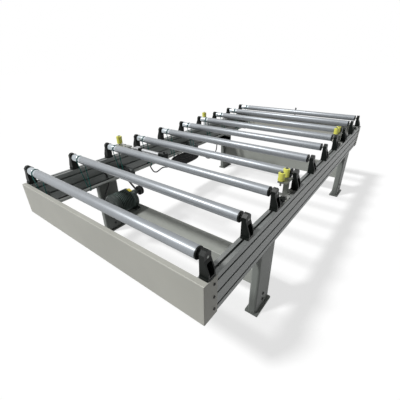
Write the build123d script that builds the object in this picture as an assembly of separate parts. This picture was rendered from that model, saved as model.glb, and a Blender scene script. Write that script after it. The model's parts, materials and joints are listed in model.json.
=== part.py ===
from build123d import *
import math
import os

os.makedirs("parts", exist_ok=True)

# Powered roller conveyor for panels. Millimetres.
# X runs across the conveyor along the rollers, Y runs along it away from the front cover,
# Z is up and the floor is Z = 0. Distances along the conveyor are measured from its front end.

# Overall size
LENGTH = 2842.0
WIDTH = 1468.0
AXLE_HEIGHT = 740.0

# Running fits and gaps
SHAFT_FIT = 0.05
SEAT_GAP = 0.3

# Side rails: slotted aluminium extrusions
RAIL_WIDTH = 50.0
RAIL_DEPTH = 200.0
RAIL_DROP = 92.0
SLOT_OPENING = 11.0
SLOT_INNER = 21.0
SLOT_LIP = 5.0
SLOT_DEPTH = 13.0
SIDE_SLOTS = 3
RAIL_WALL = 4.0
RAIL_END_GAP = 2.5

# Rollers
ROLLER_PITCH = 300.0
FIRST_ROLLER = 55.0
LAST_ROLLER_ROOM = 60.0
TUBE_RADIUS = 25.0
TUBE_WALL = 3.0
SLEEVE_THICKNESS = 2.0
SLEEVE_START = 98.0
GROOVE_FROM_END = 67.0
GROOVE_HALF_WIDTH = 7.0
GROOVE_DEPTH = 3.5
CAP_FLANGE = 7.0
CAP_PLUG = 18.0
CAP_RADIUS = 27.5
AXLE_RADIUS = 6.0

# Moulded roller brackets on the rails
HEAD_INSET = 6.0
HEAD_GAP = 20.0
HEAD_THICKNESS = 23.0
HEAD_RISE = 28.0
BRACKET_DEPTH = 44.0
BRACKET_BEVEL = 14.0
POST_FLARE_TOP = -8.0
POST_FLARE_BOTTOM = -62.0
FOOT_THICKNESS = 13.0
FOOT_DEPTH = 54.0
BRACKET_BOLT_RADIUS = 4.0
BRACKET_WALL = 7.0
BRACKET_BACK = 10.0
POCKET_TOP = -22.0

# Sheet end covers
SHEET = 2.0
COVER_BEND = 4.0
COVER_TOP_RETURN = 26.0
COVER_SIDE_RETURN = 87.0
COVER_BOTTOM_RETURN = 20.0
COVER_SCREW_FROM_END = 65.0
SCREW_HEAD_RADIUS = 6.0
SCREW_HEAD_HEIGHT = 3.5

# Small hexagon bolt heads and washers
SMALL_HEX_RADIUS = 7.0
SMALL_HEX_HEIGHT = 6.5
WASHER_RADIUS = 8.0
WASHER_THICKNESS = 1.5

# Legs and feet
LEG_WIDTH = 50.0
LEG_DEPTH = 180.0
LEG_WALL = 4.0
LEG_CORNER = 14.0
NEAR_LEG = 495.0
FAR_LEG = LENGTH - 497.0
FOOT_PLATE_WIDTH = 82.0
FOOT_PLATE_DEPTH = 186.0
FOOT_PLATE = 12.0
FOOT_POST_HEIGHT = 150.0
FOOT_POST_WALL = 4.0
LEG_BOTTOM_GAP = 3.0
FOOT_BOLT_HEIGHTS = (62.0, 108.0)
FOOT_BOLT_RADIUS = 6.0
HEX_RADIUS = 10.0
HEX_HEIGHT = 6.0

# Cross beams
BEAM_DEPTH = 145.0
BEAM_HEIGHT = 110.0
BEAM_TOP = 303.0
BEAM_WALL = 4.0
BEAM_LIP = 18.0
BEAM_CORNER = 5.0

# Line shaft
SHAFT_RADIUS = 12.5
SHAFT_INSET = 124.0
SHAFT_DROP = 216.0
SHAFT_END_ROOM = 24.0
SHAFT_GROOVE_DEPTH = 1.2
SHAFT_GROOVE_HALF = 6.0
HANGER_ROLLERS = (1, 6)
HANGER_AFTER_ROLLER = 38.0
HANGER_BEFORE_LAST = 100.0
HANGER_AFTER_PULLEY = 52.0
HANGER_THICKNESS = 8.0
HANGER_HEIGHT = 70.0
HANGER_FLANGE = 34.0
BEARING_RADIUS = 25.0
BEARING_WIDTH = 17.0
COLLAR_RADIUS = 20.0
COLLAR_WIDTH = 12.0

# Round roller belts
CORD_RADIUS = 3.0
BELT_EXIT_DROP = 21.0
BELT_EXIT_RADIUS = 50.0

# Drive unit
MOTOR_OUT = 133.0
MOTOR_RISE = 68.0
OUTPUT_RISE = 44.0
GEAR_FACE = NEAR_LEG + 135.0
PULLEY_AFTER_GEAR = 65.0
GEAR_LENGTH = 46.0
GEAR_RADIUS = 66.0
GEAR_RIM = 68.0
GEAR_RIM_WIDTH = 9.0
OUTPUT_BOSS_RADIUS = 24.0
OUTPUT_BOSS_LENGTH = 18.0
OUTPUT_SHAFT_RADIUS = 9.5
MOTOR_LENGTH = 98.0
MOTOR_CORE_RADIUS = 58.0
FIN_RADIUS = 65.5
FIN_COUNT = 9
FIN_THICKNESS = 4.0
COWL_LENGTH = 62.0
COWL_RADIUS = 66.0
COWL_WALL = 3.0
COWL_SLOTS = 16
COWL_SLOT_WIDTH = 5.0
COWL_SLOT_LENGTH = 26.0
PAD_WIDTH = 132.0
PAD_WEB_OUT = 40.0
PAD_WEB = 8.0
PAD_BOLT_INSET = 10.0
PAD_BOLT_RADIUS = 4.4
PAD_THICKNESS = 10.0
TERMINAL_DEPTH = 72.0
TERMINAL_HEIGHT = 66.0
TERMINAL_WIDTH = 42.0
TERMINAL_LID = 6.0
GLAND_RADIUS = 10.0
GLAND_LENGTH = 16.0
PLATE_BOLT_INSET = 30.0
BEAM_END_PLATE = 8.0
MOTOR_PULLEY_RADIUS = 37.0
DRIVEN_PULLEY_RADIUS = 48.0
PULLEY_WIDTH = 26.0
BELT_WIDTH = 12.0
BELT_THICKNESS = 8.0
BELT_PROUD = 1.0

# Side pushers on the left rail
PUSHER_BAYS = (3, 7)
PUSHER_DROP = 32.0
PUSHER_STROKE = 50.0
BARREL_RADIUS = 16.0
BARREL_WALL = 3.0
CAP_BLOCK = 42.0
FRONT_CAP_LENGTH = 25.0
REAR_CAP_LENGTH = 62.0
CAP_INSET = 194.0
BARREL_REACH = 220.0
GUIDE_BLOCK_LENGTH = 62.0
GUIDE_BLOCK_WIDTH = 56.0
GUIDE_BLOCK_RISE = 14.0
ROD_RADIUS = 6.0
CARRIER_THICKNESS = 8.0
CARRIER_WIDTH = 60.0
PUSHER_PLATE_THICKNESS = 6.0
PUSHER_PLATE_WIDTH = 56.0
PUSHER_OVERHANG = 37.0
PUSHER_PIN_INSET = 27.0
PUSHER_ROLLER_RADIUS = 23.0
PUSHER_ROLLER_HEIGHT = 60.0
PUSHER_ROLLER_LIFT = 9.0

# Guide roller posts on the right rail
POST_AFTER_BAY = 55.0
POST_INSET = 24.0
POST_WIDTH = 30.0
POST_THICKNESS = 14.0
POST_FOOT_LENGTH = 62.0
POST_FOOT_THICKNESS = 6.0
POST_ARM_DROP = 12.0
POST_ARM_THICKNESS = 8.0
GUIDE_INSET = 49.0
GUIDE_BEFORE = 25.0
GUIDE_AFTER = 45.0
GUIDE_RADIUS = 19.0
GUIDE_HEIGHT = 50.0
GUIDE_LIFT = 2.0
PIN_RADIUS = 5.0
PIN_HEAD_RADIUS = 8.0
PIN_HEAD_HEIGHT = 6.0
PIN_TAIL = 22.0

# Slotted bars and clamp knobs on the right rail
BAR_BAYS = (3, 7)
BAR_BEFORE_BAY = 15.0
LAST_BAR_AFTER_BAY = 63.0
BAR_LENGTH = 84.0
BAR_WIDTH = 26.0
BAR_THICKNESS = 6.0
BAR_BLOCK_HEIGHT = 20.0
BAR_SLOT_WIDTH = 7.0
BAR_SLOT_LENGTH = 46.0
BAR_INSET = 15.0
KNOB_RADIUS = 19.0
KNOB_HEIGHT = 14.0
KNOB_OFFSET = 38.0
KNOB_LOBES = 6

# End sensor
SENSOR_X = 15.0
SENSOR_RADIUS = 6.0
SENSOR_HEIGHT = 104.0
SENSOR_CAP = 22.0
SENSOR_NUT_RADIUS = 11.0

# Valve box under the left rail
BOX_LENGTH = 150.0
BOX_WIDTH = 44.0
BOX_HEIGHT = 76.0
BOX_WALL_CORNER = 5.0
BOX_GAP_TO_LEG = 6.0

# Cables: radius of the motor cable and of the air hose
CABLE_RADIUS = 4.5
HOSE_RADIUS = 5.0
HANK_LENGTH = 470.0
HANK_HEIGHT = 130.0
HANK_THICKNESS = 36.0
HANK_START = 1370.0
HANK_TOP_DROP = 22.0

# Derived places
RAIL_TOP = AXLE_HEIGHT - RAIL_DROP
RAIL_BOTTOM = RAIL_TOP - RAIL_DEPTH
RAIL_X = WIDTH / 2 - RAIL_WIDTH / 2
RAIL_INNER = WIDTH / 2 - RAIL_WIDTH
HEAD_INNER = RAIL_INNER + HEAD_INSET
HEAD_OUTER = HEAD_INNER + HEAD_THICKNESS
TUBE_END = HEAD_INNER - HEAD_GAP
CAP_END = TUBE_END + CAP_FLANGE
ROLLER_COUNT = 1 + int((LENGTH - FIRST_ROLLER - LAST_ROLLER_ROOM) // ROLLER_PITCH)
SLOT_STEP = RAIL_DEPTH / SIDE_SLOTS
SHAFT_HEIGHT = AXLE_HEIGHT - SHAFT_DROP
SHAFT_X = SHAFT_INSET - RAIL_INNER
DRIVE_PLACE = GEAR_FACE + PULLEY_AFTER_GEAR
MOTOR_X = SHAFT_X + MOTOR_OUT
MOTOR_HEIGHT = BEAM_TOP + MOTOR_RISE
OUTPUT_HEIGHT = MOTOR_HEIGHT + OUTPUT_RISE
PUSHER_HEIGHT = AXLE_HEIGHT - PUSHER_DROP
PUSHER_PLATE_OUT = WIDTH / 2 + PUSHER_OVERHANG
PUSHER_ROLLER_X = PUSHER_PIN_INSET - PUSHER_PLATE_OUT
FRONT_CAP_X = CAP_INSET - RAIL_INNER
BARREL_END_X = FRONT_CAP_X + BARREL_REACH
POST_X = RAIL_X - POST_INSET
GUIDE_X = RAIL_X - GUIDE_INSET
BAR_X = RAIL_X - BAR_INSET
BEAM_SETBACK = LEG_DEPTH - BEAM_DEPTH
FRAME_SHIFT = (PUSHER_PLATE_OUT - RAIL_X - FOOT_PLATE_WIDTH / 2) / 2


def along(distance):
    return distance - LENGTH / 2


def roller_place(number):
    return FIRST_ROLLER + ROLLER_PITCH * (number - 1)


def bay_centre(number):
    return roller_place(number) + ROLLER_PITCH / 2


def roller_places():
    return [along(roller_place(i + 1)) for i in range(ROLLER_COUNT)]


def pusher_places():
    return [bay_centre(bay) for bay in PUSHER_BAYS]


def post_places():
    return [bay_centre(bay) + POST_AFTER_BAY for bay in PUSHER_BAYS]


def bar_places():
    places = [bay_centre(bay) - BAR_BEFORE_BAY for bay in BAR_BAYS]
    return places + [bay_centre(ROLLER_COUNT - 1) + LAST_BAR_AFTER_BAY]


def hanger_places():
    places = [roller_place(number) + HANGER_AFTER_ROLLER for number in HANGER_ROLLERS]
    last = roller_place(ROLLER_COUNT) - HANGER_BEFORE_LAST
    return sorted(places + [DRIVE_PLACE + HANGER_AFTER_PULLEY, last])


def save(shape, node):
    moved = Pos(FRAME_SHIFT, 0, 0) * shape
    moved.label = node
    export_step(moved, f"parts/{node}.step")


def group(solids):
    return Compound(children=list(solids))


def block(x0, x1, y0, y1, z0, z1):
    centre = Pos((x0 + x1) / 2, (y0 + y1) / 2, (z0 + z1) / 2)
    return centre * Box(x1 - x0, y1 - y0, z1 - z0)


def rod_x(x0, x1, y, z, radius):
    return Pos((x0 + x1) / 2, y, z) * Rot(0, 90, 0) * Cylinder(radius, x1 - x0)


def rod_y(x, y0, y1, z, radius):
    return Pos(x, (y0 + y1) / 2, z) * Rot(90, 0, 0) * Cylinder(radius, y1 - y0)


def rod_z(x, y, z0, z1, radius):
    return Pos(x, y, (z0 + z1) / 2) * Cylinder(radius, z1 - z0)


def hex_x(x0, x1, y, z, radius):
    profile = Plane.YZ * RegularPolygon(radius, 6)
    return Pos(x0, y, z) * extrude(profile, x1 - x0)


def hex_z(x, y, z0, z1, radius):
    return Pos(x, y, z0) * extrude(RegularPolygon(radius, 6), z1 - z0)


# Side rails
def slot_profile():
    mouth = Pos(0, -SLOT_DEPTH / 2) * Rectangle(SLOT_OPENING, SLOT_DEPTH)
    inner_depth = SLOT_DEPTH - SLOT_LIP
    inner = Pos(0, -SLOT_LIP - inner_depth / 2) * Rectangle(SLOT_INNER, inner_depth)
    return mouth + inner


def rail_profile():
    profile = RectangleRounded(RAIL_WIDTH, RAIL_DEPTH, 2)
    for end in (0, 180):
        profile -= Rot(0, 0, end) * Pos(0, RAIL_DEPTH / 2) * slot_profile()
    for i in range(SIDE_SLOTS):
        height = RAIL_DEPTH / 2 - SLOT_STEP * (i + 0.5)
        for side in (-90, 90):
            reach = Pos(math.copysign(RAIL_WIDTH / 2, -side), height)
            profile -= reach * Rot(0, 0, side) * slot_profile()
    chamber_height = SLOT_STEP - SLOT_INNER - 2 * RAIL_WALL
    for i in range(SIDE_SLOTS - 1):
        height = RAIL_DEPTH / 2 - SLOT_STEP * (i + 1)
        profile -= Pos(0, height) * Rectangle(RAIL_WIDTH - 2 * RAIL_WALL, chamber_height)
    return profile


def rail(side):
    run = LENGTH - 2 * (SHEET + RAIL_END_GAP)
    section = Plane.XZ * rail_profile()
    return Pos(side * RAIL_X, run / 2, RAIL_TOP - RAIL_DEPTH / 2) * extrude(section, run)


# End covers
def end_cover(end):
    outer_x = WIDTH / 2 + SEAT_GAP + SHEET
    front = along(0)
    side_end = front + COVER_SIDE_RETURN
    bottom = RAIL_BOTTOM - SEAT_GAP - SHEET
    top = RAIL_TOP + SEAT_GAP + SHEET
    shell = bent_block(outer_x, front, side_end, bottom, top, COVER_BEND)
    inner_x = outer_x - SHEET
    shell -= bent_block(inner_x, front + SHEET, side_end + 1, bottom - 1, top - SHEET, COVER_BEND - SHEET)
    shell -= block(-inner_x, inner_x, front + COVER_TOP_RETURN, side_end + 1, bottom - 1, top + 1)
    shell += block(-inner_x, inner_x, front, front + COVER_BOTTOM_RETURN, bottom, bottom + SHEET)
    for side in (-1, 1):
        cut = COVER_SIDE_RETURN - COVER_TOP_RETURN
        x = side * (inner_x + SHEET / 2)
        shell -= Pos(x, side_end - cut / 2, top) * Box(SHEET + 1, cut, 2 * (SHEET + SEAT_GAP))
        for height in side_slot_heights():
            shell -= rod_x(x - SHEET, x + SHEET, front + COVER_SCREW_FROM_END, height, CORD_RADIUS)
    if end > 0:
        shell = Rot(0, 0, 180) * shell
    return shell


def bent_block(reach, front, back, bottom, top, bend):
    body = block(-reach, reach, front, back, bottom, top)
    face = body.faces().sort_by(Axis.Y)[0]
    bends = face.edges().filter_by(Axis.Z) + face.edges().filter_by(Axis.X).sort_by(Axis.Z)[-1:]
    return fillet(bends, bend)


def side_slot_heights():
    return [RAIL_TOP - SLOT_STEP * (i + 0.5) for i in range(SIDE_SLOTS)]


def cover_screws():
    screws = []
    face = WIDTH / 2 + SEAT_GAP + SHEET
    for side in (-1, 1):
        for end in (-1, 1):
            y = end * (LENGTH / 2 - COVER_SCREW_FROM_END)
            for height in side_slot_heights():
                head = rod_x(face, face + SCREW_HEAD_HEIGHT, y, height, SCREW_HEAD_RADIUS)
                socket = hex_x(face + 1, face + SCREW_HEAD_HEIGHT + 1, y, height, 3)
                shank = rod_x(face - SHEET - SLOT_LIP - 4, face, y, height, CORD_RADIUS - 0.1)
                nut = slot_nut_side(WIDTH / 2, y, height)
                screw = head - socket + shank + nut
                if side < 0:
                    screw = mirror(screw, Plane.YZ)
                screws.append(screw)
    return group(screws)


def slot_nut_side(face_x, y, height):
    outer = face_x - SLOT_LIP - 0.2
    return block(outer - 5, outer, y - 8, y + 8, height - 7, height + 7)


def slot_nut_top(x, y):
    top = RAIL_TOP - SLOT_LIP - 0.2
    return block(x - 8, x + 8, y - 8, y + 8, top - 5, top)


# Rollers
def tube():
    start = -TUBE_END
    groove = start + GROOVE_FROM_END
    inner = TUBE_RADIUS - TUBE_WALL
    half = GROOVE_HALF_WIDTH
    bead = half + TUBE_WALL * 0.6
    with BuildSketch(Plane.XZ) as sketch:
        with BuildLine():
            Polyline((start, inner), (start, TUBE_RADIUS), (groove - half, TUBE_RADIUS))
            ThreePointArc(
                (groove - half, TUBE_RADIUS),
                (groove, TUBE_RADIUS - GROOVE_DEPTH),
                (groove + half, TUBE_RADIUS),
            )
            Polyline(
                (groove + half, TUBE_RADIUS),
                (TUBE_END, TUBE_RADIUS),
                (TUBE_END, inner),
                (groove + bead, inner),
            )
            ThreePointArc(
                (groove + bead, inner),
                (groove, inner - GROOVE_DEPTH),
                (groove - bead, inner),
            )
            Line((groove - bead, inner), (start, inner))
        make_face()
    return revolve(sketch.sketch, Axis.X)


def sleeve():
    start = -TUBE_END + SLEEVE_START
    outer = rod_x(start, TUBE_END, 0, 0, TUBE_RADIUS + SLEEVE_THICKNESS)
    return outer - rod_x(start - 1, TUBE_END + 1, 0, 0, TUBE_RADIUS)


def end_cap(side):
    inner = TUBE_RADIUS - TUBE_WALL
    flange = rod_x(TUBE_END, CAP_END, 0, 0, CAP_RADIUS)
    flange = chamfer(flange.edges().filter_by(GeomType.CIRCLE).sort_by(Axis.X)[-1], 2)
    plug = rod_x(TUBE_END - CAP_PLUG, TUBE_END, 0, 0, inner)
    bore = rod_x(TUBE_END - CAP_PLUG - 1, CAP_END + 1, 0, 0, AXLE_RADIUS + SHAFT_FIT)
    cap = flange + plug - bore
    return cap if side > 0 else mirror(cap, Plane.YZ)


def roller(y):
    pieces = [tube(), sleeve(), end_cap(-1), end_cap(1)]
    return group([Pos(0, y, AXLE_HEIGHT) * piece for piece in pieces])


def roller_axles():
    reach = HEAD_OUTER + 2
    axles = []
    for y in roller_places():
        axle = rod_x(-reach, reach, y, AXLE_HEIGHT, AXLE_RADIUS)
        axles.append(chamfer(axle.edges().filter_by(GeomType.CIRCLE), 1))
    return group(axles)


# Roller brackets
def bracket_shape():
    foot_z = -RAIL_DROP
    foot_outer = WIDTH / 2 - 1
    with BuildSketch(Plane.XZ) as side_view:
        with BuildLine():
            Polyline(
                (HEAD_INNER, foot_z),
                (HEAD_INNER, HEAD_RISE),
                (HEAD_OUTER, HEAD_RISE),
                (HEAD_OUTER, POST_FLARE_TOP),
                (foot_outer, POST_FLARE_BOTTOM),
                (foot_outer, foot_z),
                close=True,
            )
        make_face()
    body = Pos(0, BRACKET_DEPTH / 2, 0) * extrude(side_view.sketch, BRACKET_DEPTH)
    top_edges = body.edges().filter_by(Axis.X).sort_by(Axis.Z)[-2:]
    body = chamfer(top_edges, BRACKET_BEVEL)
    foot = block(HEAD_INNER, foot_outer, -FOOT_DEPTH / 2, FOOT_DEPTH / 2, foot_z, foot_z + FOOT_THICKNESS)
    foot = fillet(foot.edges().filter_by(Axis.Z), 5)
    foot_top = foot_z + FOOT_THICKNESS
    reach = BRACKET_DEPTH / 2 - BRACKET_WALL
    pocket = block(HEAD_INNER + BRACKET_BACK, foot_outer + 1, -reach, reach, foot_top, POCKET_TOP)
    pocket = fillet(pocket.edges().filter_by(Axis.X).sort_by(Axis.Z)[-2:], BRACKET_WALL)
    shape = body + foot - pocket
    shape -= rod_z(RAIL_X, 0, foot_z - 1, foot_top + 1, BRACKET_BOLT_RADIUS + SHAFT_FIT)
    shape -= rod_x(HEAD_INNER - 1, HEAD_OUTER + 1, 0, 0, AXLE_RADIUS + SHAFT_FIT)
    return shape


def roller_brackets(side):
    shape = bracket_shape()
    if side < 0:
        shape = mirror(shape, Plane.YZ)
    return group([Pos(0, y, AXLE_HEIGHT) * shape for y in roller_places()])


def bracket_bolts():
    bolts = []
    seat = RAIL_TOP + FOOT_THICKNESS
    for side in (-1, 1):
        x = side * RAIL_X
        for y in roller_places():
            shank = rod_z(x, y, RAIL_TOP - SLOT_LIP - 4, seat, BRACKET_BOLT_RADIUS)
            washer = rod_z(x, y, seat, seat + WASHER_THICKNESS, WASHER_RADIUS)
            head = hex_z(x, y, seat + WASHER_THICKNESS, seat + SMALL_HEX_HEIGHT, SMALL_HEX_RADIUS)
            bolts.append(shank + washer + head + slot_nut_top(x, y))
    return group(bolts)


# Legs and feet
def leg(side, start):
    x = side * RAIL_X
    y = along(start) + LEG_DEPTH / 2
    bottom = FOOT_PLATE + LEG_BOTTOM_GAP
    section = RectangleRounded(LEG_WIDTH, LEG_DEPTH, LEG_CORNER)
    hollow = RectangleRounded(LEG_WIDTH - 2 * LEG_WALL, LEG_DEPTH - 2 * LEG_WALL, LEG_CORNER - LEG_WALL)
    tube_body = Pos(x, y, bottom) * extrude(section - hollow, RAIL_BOTTOM - bottom)
    cap = Pos(x, y, RAIL_BOTTOM - LEG_WALL) * extrude(section, LEG_WALL)
    body = tube_body + cap
    for height in FOOT_BOLT_HEIGHTS:
        body -= rod_x(x - LEG_WIDTH, x + LEG_WIDTH, y, height, FOOT_BOLT_RADIUS + SHAFT_FIT)
    return body


def foot(side, start):
    x = side * RAIL_X
    y = along(start) + LEG_DEPTH / 2
    plate = Pos(x, y, FOOT_PLATE / 2) * Box(FOOT_PLATE_WIDTH, FOOT_PLATE_DEPTH, FOOT_PLATE)
    plate = fillet(plate.edges().filter_by(Axis.Z), 4)
    fit = LEG_WALL + SEAT_GAP
    width = LEG_WIDTH - 2 * fit
    depth = LEG_DEPTH - 2 * fit
    section = RectangleRounded(width, depth, LEG_CORNER - fit)
    inner = Rectangle(width - 2 * FOOT_POST_WALL, depth - 2 * FOOT_POST_WALL)
    post = Pos(x, y, FOOT_PLATE) * extrude(section - inner, FOOT_POST_HEIGHT)
    body = plate + post
    for height in FOOT_BOLT_HEIGHTS:
        body -= rod_x(x - LEG_WIDTH, x + LEG_WIDTH, y, height, FOOT_BOLT_RADIUS + SHAFT_FIT)
    return body


def leg_places():
    return [(side, start) for start in (NEAR_LEG, FAR_LEG) for side in (-1, 1)]


def leg_bolts():
    bolts = []
    for side, start in leg_places():
        x = side * RAIL_X
        y = along(start) + LEG_DEPTH / 2
        face = LEG_WIDTH / 2
        for height in FOOT_BOLT_HEIGHTS:
            shank = rod_x(x - face, x + face, y, height, FOOT_BOLT_RADIUS)
            head = hex_x(x + face, x + face + HEX_HEIGHT, y, height, HEX_RADIUS)
            nut = hex_x(x - face - HEX_HEIGHT, x - face, y, height, HEX_RADIUS)
            bolts.append(shank + head + nut)
    return bolts


# Cross beams
def cross_beam(start):
    y0 = along(start) + BEAM_SETBACK
    y1 = y0 + BEAM_DEPTH
    z0 = BEAM_TOP - BEAM_HEIGHT
    reach = RAIL_X - LEG_WIDTH / 2
    beam = block(-reach, reach, y0, y1, z0, BEAM_TOP)
    beam = fillet(beam.edges().filter_by(Axis.X), BEAM_CORNER)
    inside = reach - BEAM_END_PLATE
    wall = BEAM_WALL
    hollow = block(-inside, inside, y0 + wall, y1 - wall, z0 + wall, BEAM_TOP - wall)
    opening = block(-inside, inside, y0 + BEAM_LIP, y1 - BEAM_LIP, z0 - 1, z0 + wall + 1)
    return beam - hollow - opening


def beam_bolts():
    bolts = []
    inside = RAIL_X - LEG_WIDTH / 2 - BEAM_END_PLATE
    z = BEAM_TOP - BEAM_HEIGHT / 2
    for side, start in leg_places():
        y0 = along(start) + BEAM_SETBACK
        for y in (y0 + PLATE_BOLT_INSET, y0 + BEAM_DEPTH - PLATE_BOLT_INSET):
            head = hex_x(inside - HEX_HEIGHT, inside, y, z, HEX_RADIUS)
            bolts.append(head if side > 0 else mirror(head, Plane.YZ))
    return bolts


# Line shaft and its hangers
def line_shaft():
    y0 = along(SHAFT_END_ROOM)
    y1 = along(LENGTH - SHAFT_END_ROOM)
    shaft = rod_y(SHAFT_X, y0, y1, SHAFT_HEIGHT, SHAFT_RADIUS)
    shaft = chamfer(shaft.edges().filter_by(GeomType.CIRCLE), 1.5)
    reach = SHAFT_GROOVE_HALF
    for y in roller_places():
        ring = rod_y(SHAFT_X, y - reach, y + reach, SHAFT_HEIGHT, SHAFT_RADIUS + 1)
        ring -= rod_y(SHAFT_X, y - reach - 1, y + reach + 1, SHAFT_HEIGHT, SHAFT_RADIUS - SHAFT_GROOVE_DEPTH)
        shaft -= ring
    return shaft


def shaft_collars():
    collars = []
    for place in (hanger_places()[0], hanger_places()[-1]):
        y = along(place) + BEARING_WIDTH / 2 + COLLAR_WIDTH / 2 + HANGER_THICKNESS
        collar = rod_y(SHAFT_X, y - COLLAR_WIDTH / 2, y + COLLAR_WIDTH / 2, SHAFT_HEIGHT, COLLAR_RADIUS)
        bore = rod_y(SHAFT_X, y - COLLAR_WIDTH, y + COLLAR_WIDTH, SHAFT_HEIGHT, SHAFT_RADIUS)
        collars.append(collar - bore)
    return collars


def shaft_hanger(place):
    y = along(place)
    half = HANGER_THICKNESS / 2
    z0 = SHAFT_HEIGHT - HANGER_HEIGHT / 2
    z1 = SHAFT_HEIGHT + HANGER_HEIGHT / 2
    x0 = -RAIL_INNER
    arm = block(x0, SHAFT_X, y - half, y + half, z0, z1)
    nose = rod_y(SHAFT_X, y - half, y + half, SHAFT_HEIGHT, HANGER_HEIGHT / 2)
    flange = block(x0, x0 + HANGER_THICKNESS, y - half, y + HANGER_FLANGE, z0, z1)
    opening = rod_y(SHAFT_X, y - half - 1, y + half + 1, SHAFT_HEIGHT, SHAFT_RADIUS + 2)
    bolt_y = y + HANGER_FLANGE / 2 + half
    bolt_z = RAIL_TOP - SLOT_STEP * (SIDE_SLOTS - 0.5)
    bolt_z = min(max(bolt_z, z0 + HEX_RADIUS), z1 - HEX_RADIUS)
    bolt = hex_x(x0 + HANGER_THICKNESS, x0 + HANGER_THICKNESS + HEX_HEIGHT, bolt_y, bolt_z, HEX_RADIUS)
    return arm + nose + flange - opening + bolt


def shaft_bearings():
    bearings = []
    for place in hanger_places():
        y0 = along(place) - HANGER_THICKNESS / 2 - BEARING_WIDTH
        y1 = y0 + BEARING_WIDTH
        housing = rod_y(SHAFT_X, y0, y1, SHAFT_HEIGHT, BEARING_RADIUS)
        housing = chamfer(housing.edges().filter_by(GeomType.CIRCLE).sort_by(Axis.Y)[0], 4)
        plate = block(
            SHAFT_X - BEARING_RADIUS - 6,
            SHAFT_X + BEARING_RADIUS + 6,
            y1 - 6,
            y1,
            SHAFT_HEIGHT - BEARING_RADIUS,
            SHAFT_HEIGHT + BEARING_RADIUS,
        )
        bore = rod_y(SHAFT_X, y0 - 1, y1 + 1, SHAFT_HEIGHT, SHAFT_RADIUS + SHAFT_FIT)
        bearings.append(housing + plate - bore)
    return bearings


# Round belts from the line shaft to the rollers, each with a quarter turn.
# The groove guides each strand straight down until it is clear of the tube. From there it leans
# to the shaft, and the corners at the shaft stand off until the strands touch its circle.
def roller_belt():
    groove_x = -TUBE_END + GROOVE_FROM_END
    drop = AXLE_HEIGHT - BELT_EXIT_DROP - SHAFT_HEIGHT
    top = TUBE_RADIUS - GROOVE_DEPTH + CORD_RADIUS + SEAT_GAP
    low = SHAFT_RADIUS - SHAFT_GROOVE_DEPTH + CORD_RADIUS + SEAT_GAP
    front_x = SHAFT_X - corner_reach(low, math.atan2(groove_x - SHAFT_X + low, drop))
    back_x = SHAFT_X + corner_reach(low, math.atan2(SHAFT_X + low - groove_x, drop))
    front_side = Vector(groove_x, -top, AXLE_HEIGHT)
    back_side = Vector(groove_x, top, AXLE_HEIGHT)
    front_exit = Vector(groove_x, -top, AXLE_HEIGHT - BELT_EXIT_DROP)
    back_exit = Vector(groove_x, top, AXLE_HEIGHT - BELT_EXIT_DROP)
    front_low = Vector(front_x, 0, SHAFT_HEIGHT - low)
    back_low = Vector(back_x, 0, SHAFT_HEIGHT - low)
    front_join = (front_exit + front_low) / 2
    back_join = (back_exit + back_low) / 2
    crown = ThreePointArc(front_side, (groove_x, 0, AXLE_HEIGHT + top), back_side)
    front_strand = FilletPolyline(front_join, front_exit, front_side, radius=BELT_EXIT_RADIUS)
    back_strand = FilletPolyline(back_side, back_exit, back_join, radius=BELT_EXIT_RADIUS)
    upper = Wire([*front_strand.edges(), *crown.edges(), *back_strand.edges()])
    lower = FilletPolyline(back_join, back_low, front_low, front_join, radius=(low, low))
    return round_belt(upper) + round_belt(lower)


def round_belt(path):
    return sweep((path ^ 0) * RegularPolygon(CORD_RADIUS, 8), path=path)


def corner_reach(radius, lean):
    return radius * (1 + math.sin(lean)) / math.cos(lean)


def roller_belts():
    belt = roller_belt()
    return group([Pos(0, y, 0) * belt for y in roller_places()])


# Drive unit
def pulley(radius, x, z, bore_radius):
    y = along(DRIVE_PLACE)
    half = PULLEY_WIDTH / 2
    floor = radius - BELT_THICKNESS + BELT_PROUD - SEAT_GAP
    groove = BELT_WIDTH / 2 + SEAT_GAP
    hub = radius * 0.42
    with BuildSketch(Plane.YZ) as sketch:
        with BuildLine():
            Polyline(
                (-half, bore_radius),
                (-half, hub),
                (-half + 6, hub),
                (-half + 6, radius - 12),
                (-half, radius - 12),
                (-half, radius),
                (-groove, radius),
                (-groove, floor),
                (groove, floor),
                (groove, radius),
                (half, radius),
                (half, radius - 12),
                (half - 6, radius - 12),
                (half - 6, hub),
                (half, hub),
                (half, bore_radius),
                close=True,
            )
        make_face()
    return Pos(x, y, z) * revolve(sketch.sketch, Axis.Y)


def drive_belt():
    y = along(DRIVE_PLACE)
    outer_a = MOTOR_PULLEY_RADIUS + BELT_PROUD
    outer_b = DRIVEN_PULLEY_RADIUS + BELT_PROUD
    outline = belt_outline(outer_a, outer_b)
    hole = belt_outline(outer_a - BELT_THICKNESS, outer_b - BELT_THICKNESS)
    loop = Plane.XZ * (outline - hole)
    return Pos(0, y + BELT_WIDTH / 2, 0) * extrude(loop, BELT_WIDTH)


def belt_outline(motor_radius, shaft_radius):
    motor = Pos(MOTOR_X, OUTPUT_HEIGHT) * Circle(motor_radius)
    shaft = Pos(SHAFT_X, SHAFT_HEIGHT) * Circle(shaft_radius)
    return make_hull([*motor.edges(), *shaft.edges()])


def output_shaft():
    y0 = along(GEAR_FACE) - GEAR_LENGTH / 2
    y1 = along(DRIVE_PLACE) + PULLEY_WIDTH / 2 + 4
    return rod_y(MOTOR_X, y0, y1, OUTPUT_HEIGHT, OUTPUT_SHAFT_RADIUS)


def motor_pulley():
    wheel = pulley(MOTOR_PULLEY_RADIUS, MOTOR_X, OUTPUT_HEIGHT, OUTPUT_SHAFT_RADIUS)
    return wheel + output_shaft()


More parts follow.
